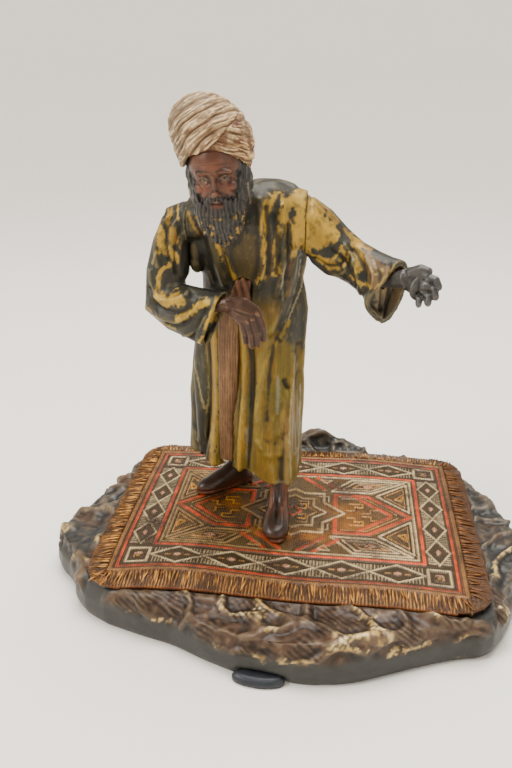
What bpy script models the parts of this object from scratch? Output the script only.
"""Cold-painted bronze statuette: a bowing figure in a turban and a long coat, on a carpet that lies on rocky ground.

The figure is bench-assembled from separate castings: coat, tunic panel, sash, two sleeves, two hands, head, turban
and two legs, joined by studs and pins. Two studs run down from the boots through the carpet and the ground casting
and end in washers and nuts inside the hollow underneath. Four rivets hold the carpet casting to the ground casting.

Tables are in millimetres. x runs to the figure's left, y to its back and z up. The figure and the carpet are placed
from the carpet's centre, and z = 0 is the table. The model is written out in metres.
"""

import math

import bmesh
import bpy
from mathutils import Matrix, Vector

MM = 0.001
GAP = 0.3  # between castings that touch

# ---- driving dimensions ----------------------------------------------------------------------------------------
CARPET_TOP = 19.0  # nominal height of the carpet above the table
CARPET_WIDE, CARPET_DEEP = 130.0, 91.0  # to the outside of the binding
FRINGE = 8.0
CARPET_THICK = 1.0
CORNER = 13.0  # radius of the fringe's rounded corners
SQUARE_PITCH = (110.6, 73.0)  # distance between the centres of the corner squares
WALL = 2.4  # coat wall
STUD_R, HOLE_R = 1.5, 1.8
LEFT_FOOT, RIGHT_FOOT = (-5.5, -4.0), (-25.0, 20.5)  # where the leg studs stand

# Outline of the ground casting at the table, counter-clockwise, from the carpet's centre.
OUTLINE = [
    (91, -8), (89, 9), (84, 20), (78, 34), (71, 47), (57, 54), (38, 59), (22, 64), (8, 67), (-10, 66), (-28, 60),
    (-45, 56), (-64, 53), (-75, 43), (-81, 22), (-87, 5), (-92, -9), (-94, -17), (-90, -26), (-82, -34), (-76, -46),
    (-62, -55), (-38, -62), (-16, -72), (8, -75), (24, -73), (36, -68), (52, -61), (62, -57.5), (71, -55), (78, -45),
    (83, -34), (89, -20),
]
# Where the ground swells or dips under the carpet: x, y, rise, spread.
SWELLS = [(-36, -40, 1.7, 13), (-66, -46, -1.6, 9), (8, -46, -0.9, 12), (66, -46, -2.0, 12), (40, -38, -0.3, 12),
          (66, 44, -1.2, 12), (30, 44, 0.8, 13), (-64, 42, -1.0, 12)]
# Rocks that stand up round the carpet: x, y, rise, spread.
ROCKS = [(8, 60, 9.5, 9), (28, 60, 3.0, 8), (-80, 12, -0.8, 7), (80, 14, 1.5, 8), (84, -10, 3.0, 7),
         (-20, -62, -0.8, 8), (14, -64, 1.2, 7), (46, -57, -0.6, 7)]
BASE_SEGMENTS = 60


# ---- small tools -----------------------------------------------------------------------------------------------
def material(name, colour, roughness, metallic):
    made = bpy.data.materials.new(name)
    made.use_nodes = True
    shader = made.node_tree.nodes["Principled BSDF"]
    shader.inputs["Base Color"].default_value = (*colour, 1)
    shader.inputs["Roughness"].default_value = roughness
    shader.inputs["Metallic"].default_value = metallic
    return made


def finish(name, bm, paint, parent, cutter=False):
    """Turns a bmesh drawn in millimetres into a named object in metres."""
    bmesh.ops.recalc_face_normals(bm, faces=bm.faces)
    bmesh.ops.scale(bm, vec=(MM, MM, MM), verts=bm.verts)
    mesh = bpy.data.meshes.new(name)
    bm.to_mesh(mesh)
    bm.free()
    mesh.shade_smooth()
    mesh.set_sharp_from_angle(angle=math.radians(35))
    made = bpy.data.objects.new(name, mesh)
    bpy.context.scene.collection.objects.link(made)
    made.parent = parent
    if cutter:
        made.hide_render = True
        made.display_type = "WIRE"
    else:
        mesh.materials.append(paint)
    return made


def boolean(target, other, operation):
    cut = target.modifiers.new(f"{operation.lower()} {other.name}", "BOOLEAN")
    cut.operation = operation
    cut.solver = "EXACT"
    cut.object = other
    return cut


def ring(bm, points):
    """A closed loop of edges through these points."""
    made = bmesh.ops.create_circle(bm, segments=len(points), radius=1.0)["verts"]
    for vert, point in zip(made, points):
        vert.co = point
    return list({edge for vert in made for edge in vert.link_edges})


def oval(centre, across, up, segments):
    """Points of an ellipse, from its centre and its two half axes."""
    c, a, b = Vector(centre), Vector(across), Vector(up)
    turns = [2 * math.pi * i / segments for i in range(segments)]
    return [c + a * math.cos(t) + b * math.sin(t) for t in turns]


def skin(bm, loops):
    """A closed body through a row of point loops, flat at both ends."""
    edges = [ring(bm, points) for points in loops]
    for first, second in zip(edges, edges[1:]):
        bmesh.ops.bridge_loops(bm, edges=first + second)
    for end in (edges[0], edges[-1]):
        bmesh.ops.edgeloop_fill(bm, edges=end)


def tube(stations, segments=14):
    """A body through (centre, half axis across, half axis up) stations."""
    bm = bmesh.new()
    skin(bm, [oval(*station, segments) for station in stations])
    return bm


def rod(low, high, radius, segments=16):
    """A straight round rod between two points."""
    a, b = Vector(low), Vector(high)
    turn = (b - a).to_track_quat("Z", "Y").to_matrix()
    x, y = turn @ Vector((radius, 0, 0)), turn @ Vector((0, radius, 0))
    return tube([(a, x, y), (b, x, y)], segments)


def grown(stations, by, lengthen=0.0):
    """The same stations with every half axis longer by this much, and the ends pushed out."""
    made = [(Vector(c), Vector(a) * (1 + by / Vector(a).length), Vector(b) * (1 + by / Vector(b).length))
            for c, a, b in stations]
    if lengthen:
        for end, other in ((0, 1), (-1, -2)):
            c, a, b = made[end]
            made[end] = (c + (c - made[other][0]).normalized() * lengthen, a, b)
    return made


def closed_curve(points, count):
    """count points on a smooth closed curve through the given ones (Catmull-Rom)."""
    made = []
    size = len(points)
    for i in range(count):
        place = i * size / count
        k, t = int(place), place % 1
        p0, p1, p2, p3 = (Vector(points[(k + j) % size]) for j in (-1, 0, 1, 2))
        made.append(0.5 * (2 * p1 + (p2 - p0) * t + (2 * p0 - 5 * p1 + 4 * p2 - p3) * t**2
                           + (3 * p1 - p0 - 3 * p2 + p3) * t**3))
    return made


def heap(x, y, mounds):
    """Sum of round mounds at (x, y)."""
    return sum(rise * math.exp(-((x - mx) ** 2 + (y - my) ** 2) / (2 * spread**2)) for mx, my, rise, spread in mounds)


# ---- ground and carpet -----------------------------------------------------------------------------------------
def past_binding(x, y):
    """How far a point lies outside the carpet's bound edge."""
    return max(abs(x) - CARPET_WIDE / 2, abs(y) - CARPET_DEEP / 2, 0)


def carpet_height(x, y):
    """Top of the carpet. The fringe droops onto the rock."""
    return CARPET_TOP + heap(x, y, SWELLS) - 0.16 * min(past_binding(x, y), FRINGE + 2)


def ground_height(x, y, share):
    """Top of the ground casting. share is 1 at the outline and 0 at the middle."""
    bed = carpet_height(x, y) - CARPET_THICK - 0.45
    outside = min(max(past_binding(x, y) - FRINGE - 3.5, 0) / 4, 1.0)
    edge = 16.9 - 2.6 * max(0.0, (share - 0.93) / 0.07) ** 2
    return min(bed, edge) + outside * heap(x, y, ROCKS)


def ground_loops(outline, middle):
    """Loops of the ground casting from the table up the wall and over the top."""
    wall = [(1.0, 0.0), (1.004, 5.0), (1.0, 9.5), (0.99, 12.5)]
    loops = [[Vector((*(middle + (p - middle) * share), z)) for p in outline] for share, z in wall]
    for share in (0.975, 0.955, 0.925, 0.88, 0.82, 0.74, 0.62, 0.48, 0.33, 0.18, 0.05):
        loop = [middle + (p - middle) * share for p in outline]
        loops.append([Vector((p.x, p.y, ground_height(p.x, p.y, share))) for p in loop])
    return loops


def cavity_loops(outline, middle):
    """The hollow under the ground casting."""
    levels = [(0.94, -1.0), (0.935, 5.0), (0.92, 9.5), (0.90, 12.0), (0.5, 12.2), (0.1, 12.2)]
    return [[Vector((*(middle + (p - middle) * share), z)) for p in outline] for share, z in levels]


def rivet_places():
    dx, dy = SQUARE_PITCH[0] / 2, SQUARE_PITCH[1] / 2
    return {"front_left": (-dx, -dy), "front_right": (dx, -dy), "rear_right": (dx, dy), "rear_left": (-dx, dy)}


def make_ground(stand, paint):
    outline = closed_curve(OUTLINE, BASE_SEGMENTS)
    middle = Vector(((min(p.x for p in outline) + max(p.x for p in outline)) / 2,
                     (min(p.y for p in outline) + max(p.y for p in outline)) / 2))
    front = min(min(p.y for p in outline), LUG[1][0][1] - LUG[1][2][1])
    back = middle.y + (max(p.y for p in outline) - middle.y) * 1.004
    stand.location = (-middle.x * MM, -(front + back) / 2 * MM, 0)
    bm = bmesh.new()
    skin(bm, ground_loops(outline, middle))
    ground = finish("ground_casting", bm, paint, stand)
    bm = bmesh.new()
    skin(bm, cavity_loops(outline, middle))
    boolean(ground, finish("cut_cavity", bm, None, stand, cutter=True), "DIFFERENCE")
    for side, (x, y) in (("left", LEFT_FOOT), ("right", RIGHT_FOOT)):
        boss = finish(f"add_{side}_boss", rod((x, y, 8), (x, y, 14.5), 5.0, 20), None, stand, cutter=True)
        boolean(ground, boss, "UNION")
    for side, (x, y) in (("left", LEFT_FOOT), ("right", RIGHT_FOOT)):
        hole = finish(f"cut_{side}_boss_hole", rod((x, y, 2), (x, y, 24), HOLE_R), None, stand, cutter=True)
        boolean(ground, hole, "DIFFERENCE")
    for corner, (x, y) in rivet_places().items():
        hole = finish(f"cut_{corner}_rivet_hole", rod((x, y, 5), (x, y, 25), 1.3, 12), None, stand, cutter=True)
        boolean(ground, hole, "DIFFERENCE")
    return ground


def make_carpet(stand, paint):
    bm = bmesh.new()
    half = Vector((CARPET_WIDE / 2 + FRINGE, CARPET_DEEP / 2 + FRINGE))
    bmesh.ops.create_grid(bm, x_segments=22, y_segments=16, size=1.0)
    for vert in bm.verts:
        x, y = vert.co.x * half.x, vert.co.y * half.y
        u, v = max(abs(x) - half.x + CORNER, 0) / CORNER, max(abs(y) - half.y + CORNER, 0) / CORNER
        if u > 0 and v > 0:
            x = math.copysign(half.x - CORNER * (1 - u * math.sqrt(1 - v * v / 2)), x)
            y = math.copysign(half.y - CORNER * (1 - v * math.sqrt(1 - u * u / 2)), y)
        vert.co = (x, y, carpet_height(x, y))
    bottom = bmesh.ops.extrude_face_region(bm, geom=bm.faces[:])["geom"]
    bmesh.ops.translate(bm, vec=(0, 0, -CARPET_THICK), verts=[g for g in bottom if isinstance(g, bmesh.types.BMVert)])
    carpet = finish("carpet_casting", bm, paint, stand)
    for side, (x, y) in (("left", LEFT_FOOT), ("right", RIGHT_FOOT)):
        hole = finish(f"cut_{side}_carpet_hole", rod((x, y, 10), (x, y, 24), HOLE_R), None, stand, cutter=True)
        boolean(carpet, hole, "DIFFERENCE")
    for corner, (x, y) in rivet_places().items():
        hole = finish(f"cut_{corner}_carpet_hole", rod((x, y, 10), (x, y, 24), 1.3, 12), None, stand, cutter=True)
        boolean(carpet, hole, "DIFFERENCE")
    return carpet


def make_rivets(stand, paint):
    for corner, (x, y) in rivet_places().items():
        top = carpet_height(x, y)
        profile = [(10.3, 1.4), (10.9, 2.2), (11.75, 2.2), (11.8, 1.0), (top - 0.2, 1.0), (top + 0.25, 0.8)]
        stations = [((x, y, z), (r, 0, 0), (0, r, 0)) for z, r in profile]
        finish(f"carpet_rivet_{corner}", tube(stations, 12), paint, stand)


# The small blank oval lug that sits in a notch at the foot of the front wall.
LUG = [((-6, -74.4, 0), (8.8, -0.4, 0), (0, 3.2, 0)), ((-6, -74.4, 1.6), (9.0, -0.4, 0), (0, 3.5, 0)),
       ((-6, -74.3, 2.6), (8.4, -0.4, 0), (0, 2.8, 0)), ((-6, -74.2, 3.2), (7.2, -0.3, 0), (0, 1.8, 0))]


def make_rim_lug(ground, stand, paint):
    notch = grown(LUG, GAP, GAP)
    boolean(ground, finish("cut_lug_notch", tube(notch, 24), None, stand, cutter=True), "DIFFERENCE")
    return finish("rim_lug", tube(LUG, 24), paint, stand)


# ---- the coat --------------------------------------------------------------------------------------------------
# Height, centre x and y, reach to the left (+x), right, front and back, and how far the front knee pushes the skirt.
COAT = [
    (36, -21, 10, 22.0, 24.5, 12.0, 21.0, 16.0),
    (48, -21, 10, 22.0, 23.5, 12.6, 20.0, 15.0),
    (65, -21, 9, 22.6, 22.5, 13.8, 18.5, 11.0),
    (80, -20, 7.5, 21.8, 21.0, 14.0, 17.0, 4.0),
    (93, -18, 5.5, 20.4, 20.5, 13.5, 15.5, 1.5),
    (106, -16.5, 2.5, 19.8, 19.0, 13.0, 13.8, 0.5),
    (118, -16.5, -1.0, 17.8, 18.0, 12.5, 13.2, 0.0),
    (130, -17, -4.5, 19.5, 19.8, 12.8, 13.4, 0.0),
    (139, -17.5, -7.0, 19.0, 18.8, 12.2, 12.6, 0.0),
    (146, -19, -8.5, 15.0, 13.5, 10.0, 10.5, 0.0),
    (150, -21, -9.5, 8.0, 7.5, 6.0, 6.5, 0.0),
]
KNEE_AT, KNEE_SPREAD = math.radians(-48), math.radians(32)
COAT_SEGMENTS = 36


def coat_loop(row, inset=0.0):
    z, cx, cy, left, right, front, back, knee = row
    points = []
    for i in range(COAT_SEGMENTS):
        turn = 2 * math.pi * i / COAT_SEGMENTS
        c, s = math.cos(turn), math.sin(turn)
        radius = 1 / math.hypot(c / (left if c > 0 else right), s / (back if s > 0 else front))
        away = (turn - KNEE_AT + math.pi) % (2 * math.pi) - math.pi
        radius += knee * math.exp(-((away / KNEE_SPREAD) ** 2)) - inset
        points.append(Vector((cx + radius * c, cy + radius * s, z)))
    return points


# The yoke that carries the shoulders: centre, half axis to the back, half axis up.
YOKE = [((-38.5, -6, 138.2), (0, 7.4, 0), (0, 0, 7.2)), ((-32, -7, 139.5), (0, 9.6, 0), (0, 0, 8.6)),
        ((-22, -8.5, 140.0), (0, 10.8, 0), (0, 0, 10.2)), ((-8, -7, 139.6), (0, 10.4, 0), (0, 0, 10.8)),
        ((4, -5, 138.2), (0, 9.4, 0), (0, 0, 10.0))]
RIGHT_JOINT_X, LEFT_JOINT_X = -37.5, 2.8  # where the sleeve castings meet the coat
COLLAR = [((-22.5, -11, 146), (8.4, 0, 0), (0, 7.6, 0)), ((-23.5, -13.5, 152.5), (7.6, 0, 0), (0, 6.4, 1.5))]
NECK_FOOT, NECK_TOP = Vector((-22.8, -11.5, 144)), Vector((-24.6, -19, 156))

# The striped tunic panel in the coat's open front: centre, half axis across, half axis through.
TUNIC = [((-25.9, -1.0, 39.5), (3.6, 0.7, 0), (-0.5, 1.5, 0)), ((-25.4, -3.4, 60), (3.7, 0.7, 0), (-0.4, 1.5, 0)),
         ((-24.6, -7.2, 84), (3.8, 0.5, 0), (-0.4, 1.5, 0)), ((-24.0, -9.8, 101), (3.9, 0.4, 0), (-0.2, 1.5, 0)),
         ((-23.6, -11.2, 107.6), (3.9, 0.2, 0), (-0.2, 1.5, 0))]
SASH = [((-21.8, -13.0, 115.0), (0.3, -0.4, 3.6), (0.0, 1.4, 0)), ((-18.6, -13.4, 115.4), (0.1, -0.4, 5.0), (0, 1.6, 0)),
        ((-15.6, -13.2, 115.2), (0, -0.4, 4.2), (0.0, 1.5, 0))]


def make_coat(stand, paint):
    bm = bmesh.new()
    skin(bm, [coat_loop(row) for row in COAT])
    coat = finish("coat_casting", bm, paint, stand)
    boolean(coat, finish("add_yoke", tube(YOKE, 20), None, stand, cutter=True), "UNION")
    boolean(coat, finish("add_collar", tube(COLLAR, 20), None, stand, cutter=True), "UNION")
    bm = bmesh.new()
    rows = [(z - 4 if z == 36 else z, *rest) for z, *rest in COAT[:5]]
    skin(bm, [coat_loop(row, WALL) for row in rows])
    boolean(coat, finish("cut_skirt_hollow", bm, None, stand, cutter=True), "DIFFERENCE")
    tunic_slot = grown(TUNIC, GAP, 0)
    c, a, b = tunic_slot[0]
    tunic_slot[0] = (c + (c - tunic_slot[1][0]).normalized() * 8, a, b)
    c, a, b = tunic_slot[-1]
    tunic_slot[-1] = (c + Vector((0, 0, GAP)), a, b)
    boolean(coat, finish("cut_tunic_slot", tube(tunic_slot, 12), None, stand, cutter=True), "DIFFERENCE")
    boolean(coat, finish("cut_sash_slot", tube(grown(SASH, GAP, GAP), 12), None, stand, cutter=True), "DIFFERENCE")
    for side, x, lean in (("right", RIGHT_JOINT_X, -1), ("left", LEFT_JOINT_X, 1)):
        bm = bmesh.new()
        bmesh.ops.create_cube(bm, size=40, matrix=Matrix.Translation((x + 20 * lean, -6, 146)))
        boolean(coat, finish(f"cut_{side}_shoulder", bm, None, stand, cutter=True), "DIFFERENCE")
    for name, low, high, radius in coat_holes():
        boolean(coat, finish(f"cut_{name}", rod(low, high, radius), None, stand, cutter=True), "DIFFERENCE")
    return coat


def coat_holes():
    """Sockets in the coat: both hip studs, both shoulder studs and the neck."""
    neck = (NECK_TOP - NECK_FOOT).normalized()
    return [
        ("left_hip_hole", (*HIP["left"], 88), (*HIP["left"], 104.3), HOLE_R),
        ("right_hip_hole", (*HIP["right"], 88), (*HIP["right"], 104.3), HOLE_R),
        ("left_shoulder_hole", (-5.3, -5, 138), (6, -5, 138), HOLE_R),
        ("right_shoulder_hole", (-42, -6, 138), (-29.7, -6, 138), HOLE_R),
        ("neck_socket", NECK_FOOT, NECK_TOP + neck * 8, 4.6 + GAP),
        ("neck_pin_hole", NECK_FOOT - neck * 6.3, NECK_FOOT + neck * 2, 1.2 + GAP),
    ]


# ---- sleeves, hands --------------------------------------------------------------------------------------------
# Sleeves: centre, half axis front to back (or across), half axis up.
LEFT_SLEEVE = [((3.1, -5, 138.0), (0, 9.3, 0), (0, 0, 9.9)), ((8, -5.6, 133.6), (1.2, 8.2, 0.4), (3.2, 0.2, 8.6)),
               ((14, -7, 128.8), (2.0, 7.2, 0), (2.6, 0, 7.9)), ((20, -9.5, 125.6), (3.0, 6.2, 0), (1.4, 0, 7.2)),
               ((26, -14.0, 122.8), (4.0, 5.2, 0), (0.9, 0, 8.0)), ((29.6, -17.2, 120.2), (4.4, 5.0, 0), (1.4, 0, 9.6)),
               ((32.4, -19.6, 118.4), (4.7, 5.0, 0), (2.1, 0, 11.0))]
RIGHT_SLEEVE = [((-37.8, -6, 138.2), (0, 7.2, 0), (0, 0, 7.0)), ((-41.5, -6.4, 136.2), (0, 7.6, 0), (-4.2, 0, 6.0)),
                ((-43.8, -7.4, 130.0), (0, 7.4, 0), (-6.6, 0, 1.8)), ((-45.4, -9.0, 120.6), (0, 7.2, 0), (-7.6, 0, 0.8)),
                ((-46.4, -11.0, 112.4), (2.2, 7.0, 0), (-7.2, 2.6, -6.0)),
                ((-41.4, -14.8, 109.4), (3.0, 6.0, 0), (-2.0, 0.6, -8.6)),
                ((-35.0, -19.0, 108.8), (2.6, 5.6, 0), (-0.8, 0.2, -9.4)),
                ((-29.6, -21.6, 108.2), (2.2, 5.2, 0), (-2.6, 0.6, -9.8)),
                ((-26.6, -23.0, 108.2), (2.0, 5.0, 0), (-3.8, 0.6, -10.0))]


def cuff_hollow(sleeve, depth_stations, wall):
    """The open mouth of a sleeve: a smaller copy of its last stations that runs out past the cuff."""
    made = grown(sleeve[-depth_stations:], -wall)
    c, a, b = made[-1]
    made[-1] = (c + (c - made[-2][0]) * 0.6, a, b)
    return made


# Fingers: the points down the middle of each finger with its radius at each.
LEFT_HAND = {
    "wrist": [((27.5, -16.0, 121.8), 2.6), ((33.0, -20.4, 123.0), 2.7), ((36.2, -23.0, 124.4), 3.3)],
    "palm": [((36.0, -22.8, 124.4), (0.4, -0.4, 4.0), (0.9, 1.1, 0)), ((39.2, -25.8, 124.2), (0.6, -0.6, 4.8), (1.0, 1.3, 0)),
             ((41.6, -28.0, 123.4), (0.8, -0.8, 4.4), (0.9, 1.2, 0))],
    "fingers": {
        "thumb": [((37.2, -24.2, 126.6), 1.9), ((40.2, -26.0, 128.4), 1.7), ((42.6, -27.4, 128.0), 1.4)],
        "index": [((42.0, -27.6, 126.0), 1.6), ((44.6, -29.4, 125.8), 1.5), ((45.6, -30.8, 123.8), 1.3)],
        "middle": [((42.0, -28.0, 123.6), 1.6), ((44.2, -30.4, 122.8), 1.5), ((44.8, -31.8, 120.8), 1.25)],
        "ring": [((41.2, -28.2, 121.4), 1.55), ((42.4, -30.8, 120.6), 1.45), ((42.6, -32.0, 118.8), 1.2)],
        "little": [((39.8, -27.8, 120.2), 1.4), ((40.0, -30.2, 119.6), 1.3), ((39.8, -31.2, 118.0), 1.1)],
    },
}
RIGHT_HAND = {
    "wrist": [((-31.0, -20.8, 112.4), 2.6), ((-24.6, -23.6, 113.6), 2.5), ((-21.4, -24.4, 114.2), 2.8)],
    "palm": [((-21.6, -24.3, 114.2), (0.6, 0.0, 3.3), (0.3, 1.4, 0)), ((-17.4, -25.4, 112.6), (1.6, 0.2, 4.2), (0.3, 1.6, 0)),
             ((-14.0, -25.8, 110.4), (3.0, 0.4, 3.4), (0.3, 1.5, 0))],
    "fingers": {
        "index": [((-11.9, -25.6, 112.0), 1.45), ((-10.0, -25.4, 106.8), 1.3), ((-9.6, -24.4, 101.8), 1.0)],
        "middle": [((-13.4, -26.0, 110.6), 1.5), ((-11.9, -26.2, 105.2), 1.35), ((-11.6, -25.0, 100.0), 1.05)],
        "ring": [((-15.2, -26.0, 109.2), 1.45), ((-14.0, -26.2, 104.2), 1.3), ((-13.8, -25.0, 99.4), 1.0)],
        "little": [((-16.9, -25.8, 108.2), 1.3), ((-16.2, -26.0, 104.4), 1.15), ((-16.0, -25.0, 100.8), 0.9)],
        "thumb": [((-19.6, -24.0, 111.4), 1.6), ((-17.6, -22.6, 108.8), 1.4), ((-16.2, -21.6, 106.2), 1.1)],
    },
}


def limb(points, segments=7):
    """A round-ended tube down a row of (centre, radius) points."""
    centres = [Vector(c) for c, _ in points]
    radii = [r for _, r in points]
    ends = [centres[0] + (centres[0] - centres[1]).normalized() * radii[0] * 0.6,
            centres[-1] + (centres[-1] - centres[-2]).normalized() * radii[-1] * 0.7]
    centres = [ends[0], *centres, ends[1]]
    radii = [radii[0] * 0.6, *radii, radii[-1] * 0.5]
    stations = []
    for i, (centre, radius) in enumerate(zip(centres, radii)):
        along = (centres[min(i + 1, len(centres) - 1)] - centres[max(i - 1, 0)]).normalized()
        side = along.cross(Vector((0.3, 1, 0.2))).normalized() * radius
        stations.append((centre, side, along.cross(side)))
    return tube(stations, segments)


def make_hand(name, hand, stand, paint):
    made = finish(name, limb(hand["wrist"], 12), paint, stand)
    boolean(made, finish(f"add_{name}_palm", tube(hand["palm"], 12), None, stand, cutter=True), "UNION")
    for finger, points in hand["fingers"].items():
        boolean(made, finish(f"add_{name}_{finger}", limb(points), None, stand, cutter=True), "UNION")
    return made


def make_sleeve(name, sleeve, hand, stud, stand, paint, mouth):
    """A sleeve casting with an open cuff, a socket for the wrist and a blind hole for the shoulder stud."""
    made = finish(name, tube(sleeve, 18), paint, stand)
    hollow = finish(f"cut_{name}_mouth", tube(cuff_hollow(sleeve, mouth, 1.5), 18), None, stand, cutter=True)
    boolean(made, hollow, "DIFFERENCE")
    low, high = hand["wrist"][0], hand["wrist"][1]
    axis = (Vector(high[0]) - Vector(low[0])).normalized()
    socket = rod(Vector(low[0]) - axis * (low[1] * 0.6 + GAP), Vector(high[0]) + axis * 4, 2.6 + GAP)
    boolean(made, finish(f"cut_{name}_socket", socket, None, stand, cutter=True), "DIFFERENCE")
    hole = finish(f"cut_{name}_stud_hole", rod(*stud, HOLE_R), None, stand, cutter=True)
    boolean(made, hole, "DIFFERENCE")
    return made


# ---- head and turban -------------------------------------------------------------------------------------------
# From the beard's tip up to the crown: centre, half axis across, half axis front to back.
HEAD = [((-21.2, -33.4, 137.6), (1.6, 0, 0), (0, 1.2, 0)), ((-21.6, -32.6, 140.0), (5.0, 0, -0.4), (0, 2.6, 0)),
        ((-22.2, -31.2, 144.5), (7.6, 0, -0.6), (0, 4.2, 0)), ((-23.2, -28.4, 149.5), (9.2, 0, -0.8), (0, 6.8, 0)),
        ((-24.0, -26.0, 154.0), (9.6, 0, -0.9), (0, 9.2, 0)), ((-24.6, -24.6, 159.0), (9.7, 0, -1.0), (0, 10.4, 0)),
        ((-25.2, -23.6, 164.0), (9.4, 0, -1.0), (0, 10.4, 0)), ((-25.8, -22.8, 169.0), (7.6, 0, -0.8), (0, 8.6, 0)),
        ((-26.2, -22.4, 172.0), (4.4, 0, -0.5), (0, 5.2, 0))]
NOSE = [((-24.2, -33.6, 158.9), (1.1, 0, 0), (0, 1.4, 0)), ((-24.0, -35.2, 156.6), (1.6, 0, 0), (0, 1.6, 0)),
        ((-23.8, -34.8, 155.0), (1.9, 0, 0), (0, 1.2, 0))]
# Turban: centre, half axis across, half axis front to back.
TURBAN = [((-25.4, -22.6, 159.6), (10.8, 0, -1.6), (0, 11.0, 0)), ((-25.7, -22.4, 162.4), (12.4, 0, -1.8), (0, 12.8, 0)),
          ((-26.4, -22.0, 166.5), (13.2, 0, -1.8), (0, 13.8, 0)), ((-26.9, -21.7, 171.0), (12.9, 0, -1.7), (0, 13.4, 0)),
          ((-27.3, -21.5, 175.0), (10.6, 0, -1.3), (0, 11.0, 0)), ((-27.6, -21.4, 178.2), (6.6, 0, -0.8), (0, 7.0, 0)),
          ((-27.7, -21.3, 179.8), (2.4, 0, -0.3), (0, 2.6, 0))]


def make_head(stand, paint):
    head = finish("head_casting", tube(HEAD, 20), paint, stand)
    boolean(head, finish("add_nose", tube(NOSE, 8), None, stand, cutter=True), "UNION")
    neck = rod(NECK_FOOT + (NECK_TOP - NECK_FOOT).normalized() * GAP, NECK_TOP + Vector((0, -1.5, 3)), 4.6)
    boolean(head, finish("add_neck", neck, None, stand, cutter=True), "UNION")
    axis = (NECK_TOP - NECK_FOOT).normalized()
    hole = rod(NECK_FOOT - axis * 1, NECK_FOOT + axis * 7.3, 1.2 + GAP)
    boolean(head, finish("cut_neck_pin", hole, None, stand, cutter=True), "DIFFERENCE")
    crown = rod((-26.0, -22.5, 166.7), (-26.6, -22.3, 176), 1.2 + GAP)
    boolean(head, finish("cut_crown_pin", crown, None, stand, cutter=True), "DIFFERENCE")
    return head


def make_turban(stand, paint):
    turban = finish("turban_casting", tube(TURBAN, 24), paint, stand)
    hat_block = finish("cut_head_recess", tube(grown(HEAD, GAP, GAP), 20), None, stand, cutter=True)
    boolean(turban, hat_block, "DIFFERENCE")
    hole = finish("cut_turban_pin", rod((-26.0, -22.5, 168), (-26.5, -22.3, 176.6), 1.2 + GAP), None, stand, cutter=True)
    boolean(turban, hole, "DIFFERENCE")
    return turban


# ---- legs ------------------------------------------------------------------------------------------------------
SOLE = CARPET_TOP + GAP + 0.15
HIP = {"left": (-12.5, 3.5), "right": (-25.0, 9.5)}
LEG_TOP = 92.6


def make_leg(name, foot, hip, toe_way, stand, paint):
    """A booted leg: a shin that leans from the ankle to the hip, and a boot that points along toe_way."""
    ax, ay = foot
    hx, hy = hip
    shin = [((ax, ay, SOLE + 2), (4.0, 0, 0), (0, 4.0, 0)), ((ax, ay, 27), (3.6, 0, 0), (0, 3.8, 0)),
            ((ax, ay + 0.4, 34), (3.7, 0, 0), (0, 3.9, 0)), ((ax * 0.7 + hx * 0.3, ay * 0.7 + hy * 0.3, 46), (3.9, 0, 0), (0, 4.0, 0)),
            ((ax * 0.35 + hx * 0.65, ay * 0.35 + hy * 0.65, 62), (4.4, 0, 0), (0, 4.6, 0)),
            ((hx, hy, 80), (5.4, 0, 0), (0, 5.6, 0)), ((hx, hy, LEG_TOP), (5.2, 0, 0), (0, 5.2, 0))]
    leg = finish(name, tube(shin, 16), paint, stand)
    way = Vector((*toe_way, 0)).normalized()
    side = Vector((-way.y, way.x, 0))
    boot = []
    for reach, half_width, half_height in ((-5.6, 2.2, 2.0), (-4.4, 3.6, 3.2), (0, 4.2, 4.6), (5, 4.3, 4.0),
                                           (10, 4.5, 3.1), (15, 4.3, 2.4), (18.4, 3.2, 1.9), (19.8, 1.6, 1.3)):
        centre = Vector((ax, ay, SOLE + half_height * 0.75)) + way * reach
        boot.append((centre, side * half_width, Vector((0, 0, half_height))))
    bm = tube(boot, 16)
    for vert in bm.verts:
        vert.co.z = max(vert.co.z, SOLE)
    boolean(leg, finish(f"add_{name}_boot", bm, None, stand, cutter=True), "UNION")
    foot_hole = rod((ax, ay, SOLE - 3), (ax, ay, 29.3), HOLE_R)
    boolean(leg, finish(f"cut_{name}_foot_hole", foot_hole, None, stand, cutter=True), "DIFFERENCE")
    hip_hole = rod((hx, hy, LEG_TOP - 7.3), (hx, hy, LEG_TOP + 3), HOLE_R)
    boolean(leg, finish(f"cut_{name}_hip_hole", hip_hole, None, stand, cutter=True), "DIFFERENCE")
    return leg


# ---- fasteners -------------------------------------------------------------------------------------------------
def drilled(name, segments, radius, low, high, bore, place, stand, paint):
    x, y = place
    made = finish(name, rod((x, y, low), (x, y, high), radius, segments), paint, stand)
    hole = finish(f"cut_{name}", rod((x, y, low - 1), (x, y, high + 1), bore), None, stand, cutter=True)
    boolean(made, hole, "DIFFERENCE")


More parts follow.
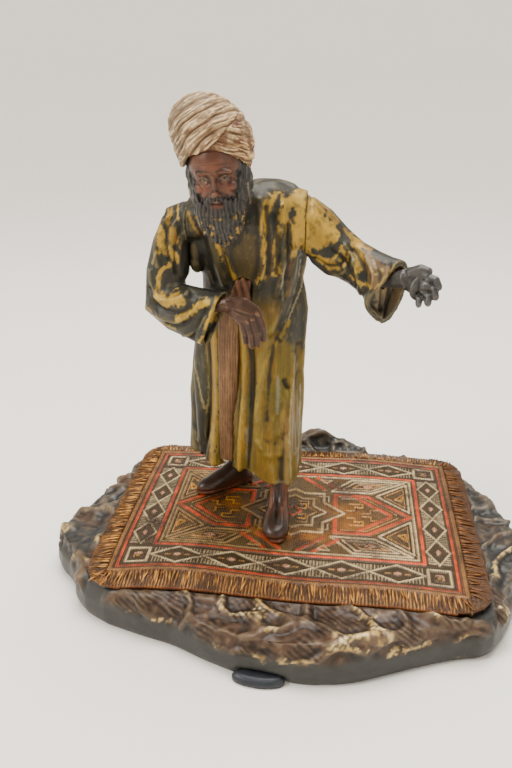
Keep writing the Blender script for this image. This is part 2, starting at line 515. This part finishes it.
def make_fasteners(stand, steel, brass):
    for side, place in (("left", LEFT_FOOT), ("right", RIGHT_FOOT)):
        x, y = place
        finish(f"{side}_leg_stud", rod((x, y, 2.6), (x, y, 29.0), STUD_R), steel, stand)
        drilled(f"{side}_leg_washer", 24, 4.0, 7.0, 7.7, HOLE_R, place, stand, brass)
        drilled(f"{side}_leg_nut", 6, 3.3, 4.2, 6.7, HOLE_R, place, stand, brass)
        hx, hy = HIP[side]
        finish(f"{side}_hip_stud", rod((hx, hy, LEG_TOP - 7.0), (hx, hy, 104.0), STUD_R), steel, stand)
    finish("left_shoulder_stud", rod((-5, -5, 138), (10, -5, 138), STUD_R), steel, stand)
    finish("right_shoulder_stud", rod((-29.9 - 15, -6, 138), (-29.9, -6, 138), STUD_R), steel, stand)
    axis = (NECK_TOP - NECK_FOOT).normalized()
    finish("neck_pin", rod(NECK_FOOT - axis * 6, NECK_FOOT + axis * 7, 1.2, 12), brass, stand)
    finish("turban_pin", rod((-26.02, -22.5, 167), (-26.48, -22.3, 176.3), 1.2, 12), brass, stand)


def main():
    for old in list(bpy.data.objects):
        bpy.data.objects.remove(old)
    bronze = material("dark_bronze", (0.07, 0.065, 0.06), 0.4, 0.6)
    rug = material("carpet_paint", (0.20, 0.11, 0.06), 0.5, 0.2)
    yellow = material("coat_paint", (0.42, 0.31, 0.06), 0.45, 0.2)
    brown = material("tunic_paint", (0.24, 0.13, 0.08), 0.5, 0.2)
    red = material("sash_paint", (0.20, 0.08, 0.04), 0.5, 0.2)
    flesh = material("skin_paint", (0.16, 0.09, 0.07), 0.4, 0.3)
    cream = material("turban_paint", (0.55, 0.48, 0.36), 0.55, 0.1)
    leather = material("boot_paint", (0.09, 0.04, 0.025), 0.3, 0.3)
    steel = material("steel", (0.35, 0.34, 0.32), 0.4, 1.0)
    brass = material("brass", (0.55, 0.40, 0.16), 0.4, 1.0)
    stand = bpy.data.objects.new("carpet_centre", None)
    bpy.context.scene.collection.objects.link(stand)
    ground = make_ground(stand, bronze)
    make_carpet(stand, rug)
    make_rivets(stand, brass)
    make_rim_lug(ground, stand, bronze)
    make_coat(stand, yellow)
    finish("tunic_panel", tube(TUNIC, 12), brown, stand)
    finish("waist_sash", tube(SASH, 12), red, stand)
    make_sleeve("left_sleeve", LEFT_SLEEVE, LEFT_HAND, ((0, -5, 138), (10.3, -5, 138)), stand, yellow, 2)
    make_sleeve("right_sleeve", RIGHT_SLEEVE, RIGHT_HAND, ((-45.2, -6, 138), (-34, -6, 138)), stand, yellow, 2)
    make_hand("left_hand", LEFT_HAND, stand, flesh)
    make_hand("right_hand", RIGHT_HAND, stand, flesh)
    make_head(stand, flesh)
    make_turban(stand, cream)
    make_leg("left_leg", LEFT_FOOT, HIP["left"], (0.02, -1), stand, leather)
    make_leg("right_leg", RIGHT_FOOT, HIP["right"], (-0.82, -0.62), stand, leather)
    make_fasteners(stand, steel, brass)


main()
